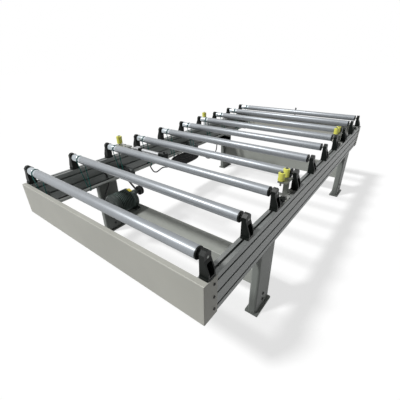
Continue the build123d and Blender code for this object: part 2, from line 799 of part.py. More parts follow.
def gear_housing():
    face = along(GEAR_FACE)
    back = face - GEAR_LENGTH
    body = rod_y(MOTOR_X, back, face, MOTOR_HEIGHT, GEAR_RADIUS)
    body = fillet(body.edges().filter_by(GeomType.CIRCLE).sort_by(Axis.Y)[-1], 7)
    rim = rod_y(MOTOR_X, back, back + GEAR_RIM_WIDTH, MOTOR_HEIGHT, GEAR_RIM)
    boss_end = face + OUTPUT_BOSS_LENGTH
    boss = rod_y(MOTOR_X, face - 20, boss_end, OUTPUT_HEIGHT, OUTPUT_BOSS_RADIUS)
    half = PAD_WIDTH / 2
    pad = block(MOTOR_X - half, MOTOR_X + half, back, face, BEAM_TOP, BEAM_TOP + PAD_THICKNESS)
    pad = fillet(pad.edges().filter_by(Axis.Z), 8)
    housing = body + rim + boss + pad
    for side in (-1, 1):
        x = MOTOR_X + side * PAD_WEB_OUT
        web_x0 = x - PAD_WEB / 2
        housing += block(web_x0, web_x0 + PAD_WEB, back, face - 8, BEAM_TOP + PAD_THICKNESS, MOTOR_HEIGHT)
    for x, y in pad_bolt_places():
        housing -= rod_z(x, y, BEAM_TOP - 1, BEAM_TOP + PAD_THICKNESS + 1, PAD_BOLT_RADIUS + SHAFT_FIT)
    bore_start = face - GEAR_LENGTH / 2 - SEAT_GAP
    housing -= rod_y(MOTOR_X, bore_start, boss_end + 1, OUTPUT_HEIGHT, OUTPUT_SHAFT_RADIUS + SHAFT_FIT)
    return housing


def pad_bolt_places():
    face = along(GEAR_FACE)
    out = PAD_WIDTH / 2 - PAD_BOLT_INSET
    rows = (face - GEAR_LENGTH + PAD_BOLT_INSET, face - PAD_BOLT_INSET)
    return [(MOTOR_X + side * out, y) for side in (-1, 1) for y in rows]


def motor_bolts():
    top = BEAM_TOP + PAD_THICKNESS
    bolts = []
    for x, y in pad_bolt_places():
        bolts.append(rod_z(x, y, BEAM_TOP, top, PAD_BOLT_RADIUS) + hex_z(x, y, top, top + 5, 7.5))
    return bolts


def motor_body():
    y1 = along(GEAR_FACE) - GEAR_LENGTH
    y0 = y1 - MOTOR_LENGTH
    body = rod_y(MOTOR_X, y0, y1, MOTOR_HEIGHT, MOTOR_CORE_RADIUS)
    step = MOTOR_LENGTH / FIN_COUNT
    for i in range(FIN_COUNT):
        centre = y0 + step * (i + 0.5)
        body += rod_y(MOTOR_X, centre - FIN_THICKNESS / 2, centre + FIN_THICKNESS / 2, MOTOR_HEIGHT, FIN_RADIUS)
    seat = block(
        MOTOR_X - FIN_RADIUS - 2,
        MOTOR_X,
        y0 + 14,
        y0 + 14 + TERMINAL_DEPTH,
        MOTOR_HEIGHT - TERMINAL_HEIGHT / 2 + 6,
        MOTOR_HEIGHT + TERMINAL_HEIGHT / 2 - 6,
    )
    return body + seat


def motor_cowl():
    y1 = along(GEAR_FACE) - GEAR_LENGTH - MOTOR_LENGTH
    y0 = y1 - COWL_LENGTH
    cup = rod_y(MOTOR_X, y0, y1, MOTOR_HEIGHT, COWL_RADIUS)
    cup = fillet(cup.edges().filter_by(GeomType.CIRCLE).sort_by(Axis.Y)[0], 9)
    inner = COWL_RADIUS - COWL_WALL
    cup -= rod_y(MOTOR_X, y0 + COWL_WALL, y1 - COWL_WALL, MOTOR_HEIGHT, inner)
    slot_radius = (COWL_RADIUS + OUTPUT_BOSS_RADIUS) / 2
    for i in range(COWL_SLOTS):
        slot = Pos(slot_radius, 0, 0) * Box(COWL_SLOT_LENGTH, 3 * COWL_WALL, COWL_SLOT_WIDTH)
        turned = Rot(0, 360 * i / COWL_SLOTS, 0) * slot
        cup -= Pos(MOTOR_X, y0, MOTOR_HEIGHT) * turned
    return cup


def terminal_box():
    y0 = along(GEAR_FACE) - GEAR_LENGTH - MOTOR_LENGTH + 14
    x1 = MOTOR_X - FIN_RADIUS - 2
    x0 = x1 - TERMINAL_WIDTH
    z0 = MOTOR_HEIGHT - TERMINAL_HEIGHT / 2
    box = block(x0, x1, y0, y0 + TERMINAL_DEPTH, z0, z0 + TERMINAL_HEIGHT)
    box = fillet(box.edges().filter_by(Axis.X), 6)
    lid = block(x0 - TERMINAL_LID, x0, y0 - 2, y0 + TERMINAL_DEPTH + 2, z0 - 2, z0 + TERMINAL_HEIGHT + 2)
    lid = fillet(lid.edges().filter_by(Axis.X), 7)
    gland_profile = Plane.XZ * RegularPolygon(GLAND_RADIUS, 6)
    gland = Pos((x0 + x1) / 2, y0, MOTOR_HEIGHT) * extrude(gland_profile, GLAND_LENGTH)
    return box + lid + gland


# Side pushers
def pusher_cap(y, x0, x1):
    half = CAP_BLOCK / 2
    cap = block(x0, x1, y - half, y + half, PUSHER_HEIGHT - half, PUSHER_HEIGHT + half)
    return fillet(cap.edges().filter_by(Axis.X), 5)


def pusher_barrels():
    barrels = []
    for place in pusher_places():
        y = along(place)
        x0 = FRONT_CAP_X + FRONT_CAP_LENGTH
        body = rod_x(x0, BARREL_END_X, y, PUSHER_HEIGHT, BARREL_RADIUS)
        barrels.append(body - rod_x(x0 - 1, BARREL_END_X - 6, y, PUSHER_HEIGHT, BARREL_RADIUS - BARREL_WALL))
    return group(barrels)


def pusher_caps():
    caps = []
    for place in pusher_places():
        y = along(place)
        front = pusher_cap(y, FRONT_CAP_X, FRONT_CAP_X + FRONT_CAP_LENGTH)
        bore = rod_x(FRONT_CAP_X - 1, BARREL_END_X, y, PUSHER_HEIGHT, ROD_RADIUS + SHAFT_FIT)
        caps.append(front - bore)
        rear = pusher_cap(y, BARREL_END_X, BARREL_END_X + REAR_CAP_LENGTH)
        fitting_x = BARREL_END_X + REAR_CAP_LENGTH * 0.7
        top = PUSHER_HEIGHT + CAP_BLOCK / 2
        fitting = rod_z(fitting_x, y, top, top + 12, 6)
        caps.append(rear + fitting)
    return group(caps)


def pusher_mounts():
    mounts = []
    for place in pusher_places():
        y = along(place)
        half = CARRIER_WIDTH / 2
        top = PUSHER_HEIGHT - CAP_BLOCK / 2
        under = top - CARRIER_THICKNESS
        x0 = -WIDTH / 2
        carrier = block(x0, BARREL_END_X + REAR_CAP_LENGTH, y - half, y + half, under, top)
        riser = block(x0, -RAIL_INNER, y - half, y + half, RAIL_TOP, under)
        guide_x0 = FRONT_CAP_X - GUIDE_BLOCK_LENGTH
        guide_half = GUIDE_BLOCK_WIDTH / 2
        guide_top = PUSHER_HEIGHT + GUIDE_BLOCK_RISE
        guide = block(guide_x0, FRONT_CAP_X, y - guide_half, y + guide_half, top, guide_top)
        guide = fillet(guide.edges().filter_by(Axis.Z), 5)
        bore = rod_x(guide_x0 - 1, FRONT_CAP_X + 1, y, PUSHER_HEIGHT, ROD_RADIUS + SHAFT_FIT)
        mounts.append(carrier + riser + guide - bore)
    return group(mounts)


def pusher_slide(place):
    y = along(place)
    plate_x1 = FRONT_CAP_X - GUIDE_BLOCK_LENGTH - PUSHER_STROKE - 15
    half = PUSHER_PLATE_WIDTH / 2
    low = PUSHER_HEIGHT - PUSHER_PLATE_THICKNESS / 2
    high = low + PUSHER_PLATE_THICKNESS
    plate = block(-PUSHER_PLATE_OUT, plate_x1, y - half, y + half, low, high)
    plate = fillet(plate.edges().filter_by(Axis.Z), 6)
    clevis = block(plate_x1 - 26, plate_x1 + 10, y - 13, y + 13, PUSHER_HEIGHT - 12, PUSHER_HEIGHT + 12)
    piston_x = FRONT_CAP_X + FRONT_CAP_LENGTH + 20
    rod = rod_x(plate_x1, piston_x, y, PUSHER_HEIGHT, ROD_RADIUS)
    rod += rod_x(piston_x - 12, piston_x, y, PUSHER_HEIGHT, BARREL_RADIUS - BARREL_WALL - SHAFT_FIT)
    pin = rod_z(PUSHER_ROLLER_X, y, low - 12, roller_top() + SEAT_GAP, PIN_RADIUS)
    head = rod_z(PUSHER_ROLLER_X, y, roller_top() + SEAT_GAP, roller_top() + PIN_HEAD_HEIGHT, PIN_HEAD_RADIUS)
    nut = hex_z(PUSHER_ROLLER_X, y, low - 8, low, 8)
    stand = rod_z(PUSHER_ROLLER_X, y, high, high + PUSHER_ROLLER_LIFT, 9)
    body = plate + clevis + rod + pin + head + nut + stand
    for offset in (-16, 16):
        body += hex_z(plate_x1 - 40, y + offset, high, high + 5, 6.5)
        body += hex_z(PUSHER_ROLLER_X + 45, y + offset, high, high + 5, 6.5)
    return body


def roller_bottom():
    high = PUSHER_HEIGHT + PUSHER_PLATE_THICKNESS / 2
    return high + PUSHER_ROLLER_LIFT + SEAT_GAP


def roller_top():
    return roller_bottom() + PUSHER_ROLLER_HEIGHT


def soft_roller(x, y, z0, radius, height):
    body = rod_z(x, y, z0, z0 + height, radius)
    body = fillet(body.edges().filter_by(GeomType.CIRCLE), 3)
    return body - rod_z(x, y, z0 - 1, z0 + height + 1, PIN_RADIUS + SHAFT_FIT)


def pusher_roller(place):
    y = along(place)
    return soft_roller(PUSHER_ROLLER_X, y, roller_bottom(), PUSHER_ROLLER_RADIUS, PUSHER_ROLLER_HEIGHT)


# Guide roller posts
def guide_places():
    places = []
    for place in post_places():
        places.append(along(place - GUIDE_BEFORE))
        places.append(along(place + GUIDE_AFTER))
    return places


def arm_top():
    return AXLE_HEIGHT - POST_ARM_DROP


def guide_posts():
    posts = []
    for place in post_places():
        y0 = along(place - POST_THICKNESS / 2)
        y1 = y0 + POST_THICKNESS
        x0 = POST_X - POST_WIDTH / 2
        x1 = POST_X + POST_WIDTH / 2
        upright = block(x0, x1, y0, y1, RAIL_TOP, arm_top())
        foot_end = y0 + POST_FOOT_LENGTH
        foot_bar = block(x0, x1 + 12, y0, foot_end, RAIL_TOP, RAIL_TOP + POST_FOOT_THICKNESS)
        arm_y0 = along(place - GUIDE_BEFORE) - 16
        arm_y1 = along(place + GUIDE_AFTER) + 16
        under = arm_top() - POST_ARM_THICKNESS
        arm = block(GUIDE_X - 15, x1, arm_y0, arm_y1, under, arm_top())
        arm = fillet(arm.edges().filter_by(Axis.Z), 4)
        bolt_y = foot_end - 16
        bolt = hex_z(RAIL_X, bolt_y, RAIL_TOP + POST_FOOT_THICKNESS, RAIL_TOP + POST_FOOT_THICKNESS + 5, 7)
        post = upright + foot_bar + arm + bolt
        for offset in (-GUIDE_BEFORE, GUIDE_AFTER):
            post -= rod_z(GUIDE_X, along(place + offset), under - 1, arm_top() + 1, PIN_RADIUS + SHAFT_FIT)
        posts.append(post)
    return posts


def guide_pins():
    pins = []
    low = arm_top() - POST_ARM_THICKNESS - PIN_TAIL
    top = arm_top() + GUIDE_LIFT + SEAT_GAP + GUIDE_HEIGHT
    for y in guide_places():
        shank = rod_z(GUIDE_X, y, low, top + SEAT_GAP, PIN_RADIUS)
        head = rod_z(GUIDE_X, y, top + SEAT_GAP, top + PIN_HEAD_HEIGHT, PIN_HEAD_RADIUS)
        socket = hex_z(GUIDE_X, y, top + 2, top + PIN_HEAD_HEIGHT + 1, 4)
        washer = rod_z(GUIDE_X, y, arm_top(), arm_top() + GUIDE_LIFT, GUIDE_RADIUS - 2)
        under = arm_top() - POST_ARM_THICKNESS
        nut = hex_z(GUIDE_X, y, under - 7, under, 8)
        pins.append(shank + head - socket + washer + nut)
    return pins


def guide_roller(y):
    return soft_roller(GUIDE_X, y, arm_top() + GUIDE_LIFT + SEAT_GAP, GUIDE_RADIUS, GUIDE_HEIGHT)


# Slotted bars and their clamp knobs
def clamp_bars():
    bars = []
    for place in bar_places():
        y = along(place)
        z = RAIL_TOP + BAR_BLOCK_HEIGHT
        bar = Pos(BAR_X, y, z) * extrude(SlotOverall(BAR_LENGTH, BAR_WIDTH), BAR_THICKNESS)
        bar -= Pos(BAR_X, y, z - 1) * extrude(SlotOverall(BAR_SLOT_LENGTH, BAR_SLOT_WIDTH), BAR_THICKNESS + 2)
        half = BAR_WIDTH / 2
        seat = block(RAIL_X - 20, RAIL_X + 20, y - half, y + half, RAIL_TOP, z)
        tongue = block(RAIL_X - 20, RAIL_X + 20, y - KNOB_OFFSET - 16, y - half, RAIL_TOP, RAIL_TOP + BAR_THICKNESS)
        bars.append(bar + seat + tongue)
    return bars


def clamp_knobs():
    knobs = []
    for place in bar_places():
        y = along(place) - KNOB_OFFSET
        low = RAIL_TOP + BAR_THICKNESS
        profile = Circle(KNOB_RADIUS - 2)
        for i in range(KNOB_LOBES):
            profile += Rot(0, 0, 360 * i / KNOB_LOBES) * Pos(KNOB_RADIUS - 5, 0) * Circle(5)
        body = Pos(RAIL_X, y, low + 4) * extrude(profile, KNOB_HEIGHT)
        collar = rod_z(RAIL_X, y, low, low + 4, 10)
        knobs.append(body + collar)
    return knobs


# End sensor on the far cover
def end_sensor():
    y = LENGTH / 2 - COVER_TOP_RETURN / 2
    z0 = RAIL_TOP + SEAT_GAP + SHEET
    stem = rod_z(SENSOR_X, y, z0, z0 + SENSOR_HEIGHT, SENSOR_RADIUS)
    cap = rod_z(SENSOR_X, y, z0 + SENSOR_HEIGHT, z0 + SENSOR_HEIGHT + SENSOR_CAP, SENSOR_RADIUS + 2)
    nut = hex_z(SENSOR_X, y, z0, z0 + 7, SENSOR_NUT_RADIUS)
    return stem + cap + nut


# Valve box
def valve_box():
    y1 = along(FAR_LEG) - BOX_GAP_TO_LEG
    y0 = y1 - BOX_LENGTH
    x = -RAIL_X
    box = block(x - BOX_WIDTH / 2, x + BOX_WIDTH / 2, y0, y1, RAIL_BOTTOM - BOX_HEIGHT, RAIL_BOTTOM)
    box = fillet(box.edges().filter_by(Axis.Z), BOX_WALL_CORNER)
    gland_y = y0 + 30
    gland = rod_z(x, gland_y, RAIL_BOTTOM - BOX_HEIGHT - GLAND_LENGTH, RAIL_BOTTOM - BOX_HEIGHT, GLAND_RADIUS)
    return box + gland


# Cables
def cord(points, radius):
    turns = []
    for before, corner, after in zip(points, points[1:], points[2:]):
        arrive = Vector(*corner) - Vector(*before)
        leave = Vector(*after) - Vector(*corner)
        turn = math.radians(arrive.get_angle(leave))
        turns.append(0.45 * min(arrive.length, leave.length) / math.tan(turn / 2))
    path = FilletPolyline(*points, radius=turns)
    section = (path ^ 0) * Circle(radius)
    body = sweep(section, path=path)
    expected = math.pi * radius**2 * path.length
    print("cord length", round(path.length), "tightest radius", round(min(turns), 1))
    print("cord volume over section times length", round(body.volume / expected, 4))
    return body


def motor_cable_points():
    gland_x = MOTOR_X - FIN_RADIUS - 2 - TERMINAL_WIDTH / 2
    gland_y = along(GEAR_FACE) - GEAR_LENGTH - MOTOR_LENGTH + 14 - GLAND_LENGTH
    wall = -RAIL_INNER + CABLE_RADIUS + 1.5
    return [
        (wall, along(521), 604),
        (wall, along(549), 577),
        (wall + 1, along(577), 539),
        (wall + 2, along(591), 494),
        (wall + 4, along(586), 450),
        (wall + 12, along(566), 424),
        (wall + 26, along(540), 408),
        (wall + 48, along(510), 391),
        (wall + 84, along(462), 377),
        (gland_x - 59, along(439), 370),
        (gland_x - 36, along(433), 368),
        (gland_x - 13, along(442), 369),
        (gland_x, gland_y - 22, MOTOR_HEIGHT),
        (gland_x, gland_y, MOTOR_HEIGHT),
    ]


def hose_start_points():
    x = -RAIL_X
    return [
        (x + 32, along(1046), RAIL_BOTTOM + 24),
        (x + 32, along(1056), RAIL_BOTTOM - 8),
        (x + 26, along(1076), RAIL_BOTTOM - 44),
        (x + 16, along(1104), RAIL_BOTTOM - 78),
        (x + 8, along(1142), RAIL_BOTTOM - 94),
        (x + 3, along(1184), RAIL_BOTTOM - 86),
        (x, along(1222), RAIL_BOTTOM - 68),
        (x, along(1262), RAIL_BOTTOM - 62),
        (x, along(1304), RAIL_BOTTOM - 74),
        (x, along(1340), RAIL_BOTTOM - 87),
        (x, along(HANK_START), RAIL_BOTTOM - 87),
    ]


def hose_end_points():
    x = -RAIL_X
    y1 = along(FAR_LEG) - BOX_GAP_TO_LEG
    gland_y = y1 - BOX_LENGTH + 30
    gland_z = RAIL_BOTTOM - BOX_HEIGHT - GLAND_LENGTH
    end = HANK_START + HANK_LENGTH
    return [
        (x, along(end), RAIL_BOTTOM - 87),
        (x, along(end + 36), RAIL_BOTTOM - 87),
        (x, along(end + 72), RAIL_BOTTOM - 118),
        (x, along(end + 112), RAIL_BOTTOM - 160),
        (x, along(end + 160), RAIL_BOTTOM - 190),
        (x, along(end + 214), RAIL_BOTTOM - 196),
        (x, along(end + 264), RAIL_BOTTOM - 182),
        (x, along(end + 308), RAIL_BOTTOM - 158),
        (x, gland_y - 30, RAIL_BOTTOM - 156),
        (x, gland_y, gland_z - 34),
        (x, gland_y, gland_z),
    ]


def hose_hank():
    y = along(HANK_START) + HANK_LENGTH / 2
    z = RAIL_BOTTOM - HANK_TOP_DROP - HANK_HEIGHT / 2
    face = Plane.YZ * SlotOverall(HANK_LENGTH, HANK_HEIGHT)
    body = extrude(face, HANK_THICKNESS)
    body = chamfer(body.faces().filter_by(Axis.X).edges(), 9)
    return Pos(-RAIL_X - HANK_THICKNESS / 2, y, z) * body


def cable_clips():
    ties = []
    x = -RAIL_X
    z1 = RAIL_BOTTOM
    z0 = RAIL_BOTTOM - HANK_TOP_DROP
    for share in (0.25, 0.75):
        y = along(HANK_START + HANK_LENGTH * share)
        ties.append(block(x - 12, x + 12, y - 6, y + 6, z0, z1))
    face = -RAIL_INNER
    for route, radius in ((motor_cable_points(), CABLE_RADIUS), (hose_start_points(), HOSE_RADIUS)):
        top = route[0]
        ties.append(block(face, face + 14, top[1] - 9, top[1] + 9, top[2] + radius, top[2] + radius + 22))
    return group(ties)


def build():
    save(rail(-1), "rail_left")
    save(rail(1), "rail_right")
    save(end_cover(-1), "end_cover_front")
    save(end_cover(1), "end_cover_far")
    save(cover_screws(), "cover_screws")
    names = {-1: "left", 1: "right"}
    rows = {NEAR_LEG: "near", FAR_LEG: "far"}
    for side, start in leg_places():
        save(leg(side, start), f"leg_{rows[start]}_{names[side]}")
        save(foot(side, start), f"foot_{rows[start]}_{names[side]}")
    save(group(leg_bolts() + beam_bolts() + motor_bolts()), "frame_bolts")
    save(cross_beam(NEAR_LEG), "cross_beam_near")
    save(cross_beam(FAR_LEG), "cross_beam_far")
    save(roller_brackets(-1), "roller_brackets_left")
    save(roller_brackets(1), "roller_brackets_right")
    save(bracket_bolts(), "bracket_bolts")
    save(roller_axles(), "roller_axles")
    for number, y in enumerate(roller_places(), 1):
        save(roller(y), f"roller_{number:02d}")
    save(group([line_shaft()] + shaft_collars()), "line_shaft")
    save(pulley(DRIVEN_PULLEY_RADIUS, SHAFT_X, SHAFT_HEIGHT, SHAFT_RADIUS), "driven_pulley")
    hangers = [shaft_hanger(place) for place in hanger_places()]
    save(group(hangers + shaft_bearings()), "shaft_bearings")
    save(roller_belts(), "roller_belts")
    save(motor_body(), "motor_body")
    save(motor_cowl(), "motor_cowl")
    save(gear_housing(), "gear_housing")
    save(terminal_box(), "terminal_box")
    save(motor_pulley(), "motor_pulley")
    save(drive_belt(), "drive_belt")
    save(pusher_barrels(), "pusher_barrels")
    save(pusher_caps(), "pusher_caps")
    save(pusher_mounts(), "pusher_mounts")
    for number, place in enumerate(pusher_places(), 1):
        save(pusher_slide(place), f"pusher_slide_{number}")
        save(pusher_roller(place), f"pusher_roller_{number}")
    save(group(guide_posts() + guide_pins()), "guide_posts")
    for number, y in enumerate(guide_places(), 1):
        save(guide_roller(y), f"guide_roller_{number}")
    save(group(clamp_bars() + clamp_knobs()), "clamp_bars")
    save(end_sensor(), "end_sensor")
    save(valve_box(), "valve_box")
    save(cord(motor_cable_points(), CABLE_RADIUS), "motor_cable")
    save(cord(hose_start_points(), HOSE_RADIUS), "air_hose_start")
    save(cord(hose_end_points(), HOSE_RADIUS), "air_hose_end")
    save(hose_hank(), "air_hose_hank")
    save(cable_clips(), "cable_clips")


build()
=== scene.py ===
import json
import math

import bpy
from mathutils import Matrix, Vector


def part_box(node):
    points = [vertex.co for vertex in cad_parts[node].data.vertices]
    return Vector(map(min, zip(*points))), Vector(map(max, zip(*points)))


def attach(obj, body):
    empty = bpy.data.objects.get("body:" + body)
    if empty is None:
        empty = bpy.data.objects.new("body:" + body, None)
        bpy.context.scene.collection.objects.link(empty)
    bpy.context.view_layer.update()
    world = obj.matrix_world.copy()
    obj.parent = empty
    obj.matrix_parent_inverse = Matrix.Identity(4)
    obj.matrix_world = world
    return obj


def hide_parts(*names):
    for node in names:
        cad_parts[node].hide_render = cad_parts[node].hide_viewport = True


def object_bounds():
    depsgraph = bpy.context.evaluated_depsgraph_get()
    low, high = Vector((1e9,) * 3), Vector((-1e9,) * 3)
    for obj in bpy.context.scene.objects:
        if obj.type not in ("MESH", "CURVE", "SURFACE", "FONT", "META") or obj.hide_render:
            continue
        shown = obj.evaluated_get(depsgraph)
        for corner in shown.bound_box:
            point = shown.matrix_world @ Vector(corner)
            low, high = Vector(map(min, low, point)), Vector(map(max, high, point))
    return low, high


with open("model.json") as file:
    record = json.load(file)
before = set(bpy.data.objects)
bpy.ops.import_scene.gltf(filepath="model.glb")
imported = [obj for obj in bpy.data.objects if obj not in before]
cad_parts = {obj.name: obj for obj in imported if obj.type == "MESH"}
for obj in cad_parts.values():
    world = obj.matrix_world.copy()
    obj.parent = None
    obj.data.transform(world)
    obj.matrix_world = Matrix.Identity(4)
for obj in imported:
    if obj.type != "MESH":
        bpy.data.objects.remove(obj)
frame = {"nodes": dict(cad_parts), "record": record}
cad_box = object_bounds()
nodes = frame["nodes"]
for item in bpy.context.selected_objects:
    item.select_set(False)

# Camera, solved from the photograph: focal length and centre in pixels of a 400 pixel frame
FRAME_PIXELS = 400
FOCAL_PIXELS = 268.8
CENTRE_PIXELS = (197.0, 198.07)
CAMERA_PLACE = (1.1568, -1.9628, 1.3716)
CAMERA_YAW = -0.6722
CAMERA_PITCH = -0.4921
CAMERA_ROLL = 0.0245
SENSOR_WIDTH = 36.0

# Places in metres, as in the source of the solids: across from the middle, and along from the front cover
LENGTH = cad_box[1][1] - cad_box[0][1]
FRAME_SHIFT = 0.0105


def along(distance):
    return distance - LENGTH / 2


def cad_x(x):
    return x + FRAME_SHIFT


def spot(x, distance, z):
    return cad_x(x), along(distance), z


# Shader groups and the nodes that the materials share
def new_group(name, inputs, outputs):
    group = bpy.data.node_groups.new(name, "ShaderNodeTree")
    for label, kind, value in inputs:
        socket = group.interface.new_socket(label, in_out="INPUT", socket_type=kind)
        if value is not None:
            socket.default_value = value
    for label, kind in outputs:
        group.interface.new_socket(label, in_out="OUTPUT", socket_type=kind)
    start = group.nodes.new("NodeGroupInput")
    end = group.nodes.new("NodeGroupOutput")
    return group, start, end


def add(tree, kind, **values):
    node = tree.nodes.new(kind)
    for name, value in values.items():
        setattr(node, name, value)
    return node


def math_node(tree, operation, *values):
    node = add(tree, "ShaderNodeMath", operation=operation)
    for socket, value in zip(node.inputs, values):
        if isinstance(value, (int, float)):
            socket.default_value = value
        else:
            tree.links.new(value, socket)
    return node.outputs[0]


def mottle_group():
    """Slow colour change and fine grain over a surface."""
    group, start, end = new_group(
        "mottle",
        [("Scale", "NodeSocketFloat", 8.0), ("Grain Scale", "NodeSocketFloat", 400.0)],
        [("Patches", "NodeSocketFloat"), ("Grain", "NodeSocketFloat")],
    )
    place = add(group, "ShaderNodeTexCoord")
    for scale, detail, out in (("Scale", 4.0, "Patches"), ("Grain Scale", 2.0, "Grain")):
        noise = add(group, "ShaderNodeTexNoise")
        noise.inputs["Detail"].default_value = detail
        group.links.new(place.outputs["Object"], noise.inputs["Vector"])
        group.links.new(start.outputs[scale], noise.inputs["Scale"])
        group.links.new(noise.outputs["Fac"], end.inputs[out])
    return group


def streak_group():
    """Fine lines drawn along one axis, as extruding, grinding or turning leaves them."""
    group, start, end = new_group(
        "streaks",
        [("Stretch", "NodeSocketVector", (300.0, 2.0, 300.0))],
        [("Lines", "NodeSocketFloat")],
    )
    place = add(group, "ShaderNodeTexCoord")
    scaled = add(group, "ShaderNodeVectorMath", operation="MULTIPLY")
    group.links.new(place.outputs["Object"], scaled.inputs[0])
    group.links.new(start.outputs["Stretch"], scaled.inputs[1])
    noise = add(group, "ShaderNodeTexNoise")
    noise.inputs["Scale"].default_value = 1.0
    noise.inputs["Detail"].default_value = 3.0
    group.links.new(scaled.outputs[0], noise.inputs["Vector"])
    group.links.new(noise.outputs["Fac"], end.inputs["Lines"])
    return group


def dust_group():
    """Pale dust that settles on faces that look up."""
    group, start, end = new_group(
        "dust",
        [("Amount", "NodeSocketFloat", 0.3)],
        [("Mask", "NodeSocketFloat")],
    )
    face = add(group, "ShaderNodeNewGeometry")
    split = add(group, "ShaderNodeSeparateXYZ")
    group.links.new(face.outputs["Normal"], split.inputs[0])
    place = add(group, "ShaderNodeTexCoord")
    noise = add(group, "ShaderNodeTexNoise")
    noise.inputs["Scale"].default_value = 22.0
    noise.inputs["Detail"].default_value = 6.0
    group.links.new(place.outputs["Object"], noise.inputs["Vector"])
    up = add(group, "ShaderNodeMapRange")
    up.inputs["From Min"].default_value = 0.55
    up.inputs["From Max"].default_value = 1.0
    group.links.new(split.outputs["Z"], up.inputs["Value"])
    patches = add(group, "ShaderNodeMapRange")
    patches.inputs["From Min"].default_value = 0.38
    patches.inputs["From Max"].default_value = 0.72
    group.links.new(noise.outputs["Fac"], patches.inputs["Value"])
    both = math_node(group, "MULTIPLY", up.outputs[0], patches.outputs[0])
    group.links.new(math_node(group, "MULTIPLY", both, start.outputs["Amount"]), end.inputs["Mask"])
    return group


MOTTLE = mottle_group()
STREAKS = streak_group()
DUST = dust_group()


def new_material(name):
    material = bpy.data.materials.new(name)
    material.use_nodes = True
    return material, material.node_tree, material.node_tree.nodes["Principled BSDF"]


def place_group(tree, group, **values):
    node = tree.nodes.new("ShaderNodeGroup")
    node.node_tree = group
    for name, value in values.items():
        node.inputs[name.replace("_", " ")].default_value = value
    return node


def ramp(tree, factor, dark, light, low=0.3, high=0.7):
    node = add(tree, "ShaderNodeValToRGB")
    node.color_ramp.elements[0].position = low
    node.color_ramp.elements[1].position = high
    node.color_ramp.elements[0].color = (*dark, 1)
    node.color_ramp.elements[1].color = (*light, 1)
    tree.links.new(factor, node.inputs["Fac"])
    return node.outputs["Color"]


def spread(tree, factor, low, high):
    node = add(tree, "ShaderNodeMapRange")
    node.inputs["To Min"].default_value = low
    node.inputs["To Max"].default_value = high
    tree.links.new(factor, node.inputs["Value"])
    return node.outputs[0]


def bump(tree, shader, height, distance, strength=0.4):
    node = add(tree, "ShaderNodeBump")
    node.inputs["Strength"].default_value = strength
    node.inputs["Distance"].default_value = distance
    tree.links.new(height, node.inputs["Height"])
    tree.links.new(node.outputs["Normal"], shader.inputs["Normal"])


def dusted(tree, colour, amount, tint=(0.62, 0.60, 0.56)):
    mask = place_group(tree, DUST, Amount=amount)
    mix = add(tree, "ShaderNodeMix", data_type="RGBA")
    tree.links.new(mask.outputs["Mask"], mix.inputs["Factor"])
    tree.links.new(colour, mix.inputs[6])
    mix.inputs[7].default_value = (*tint, 1)
    return mix.outputs[2]


def shade(colour, factor):
    return tuple(min(1.0, channel * factor) for channel in colour)


def drawn_metal(name, colour, stretch, metallic, rough, line_depth, dust=0.12):
    """Metal with fine lines along one axis."""
    material, tree, shader = new_material(name)
    lines = place_group(tree, STREAKS, Stretch=stretch).outputs["Lines"]
    patches = place_group(tree, MOTTLE, Scale=5.0).outputs["Patches"]
    line_share = math_node(tree, "MULTIPLY", lines, 0.6)
    patch_share = math_node(tree, "MULTIPLY", patches, 0.4)
    both = math_node(tree, "ADD", line_share, patch_share)
    base = ramp(tree, both, shade(colour, 0.86), shade(colour, 1.1))
    tree.links.new(dusted(tree, base, dust), shader.inputs["Base Color"])
    tree.links.new(spread(tree, both, rough - 0.08, rough + 0.1), shader.inputs["Roughness"])
    shader.inputs["Metallic"].default_value = metallic
    bump(tree, shader, lines, line_depth, 0.25)
    return material


def painted(name, colour, rough, peel, dust=0.15, gloss=0.5):
    """Sprayed paint with a slight orange peel."""
    material, tree, shader = new_material(name)
    group = place_group(tree, MOTTLE, Scale=3.0, Grain_Scale=peel)
    patches = group.outputs["Patches"]
    base = ramp(tree, patches, shade(colour, 0.93), shade(colour, 1.05))
    tree.links.new(dusted(tree, base, dust), shader.inputs["Base Color"])
    tree.links.new(spread(tree, patches, rough - 0.05, rough + 0.07), shader.inputs["Roughness"])
    shader.inputs["Specular IOR Level"].default_value = gloss
    bump(tree, shader, group.outputs["Grain"], 0.0004, 0.12)
    return material


def moulded(name, colour, rough, grain_scale, dust=0.2, gloss=0.5):
    """Moulded plastic or rubber with a fine grain."""
    material, tree, shader = new_material(name)
    group = place_group(tree, MOTTLE, Scale=14.0, Grain_Scale=grain_scale)
    grain = group.outputs["Grain"]
    base = ramp(tree, group.outputs["Patches"], shade(colour, 0.8), shade(colour, 1.25))
    tree.links.new(dusted(tree, base, dust, (0.3, 0.3, 0.29)), shader.inputs["Base Color"])
    tree.links.new(spread(tree, grain, rough - 0.08, rough + 0.12), shader.inputs["Roughness"])
    shader.inputs["Specular IOR Level"].default_value = gloss
    bump(tree, shader, grain, 0.0005, 0.25)
    return material


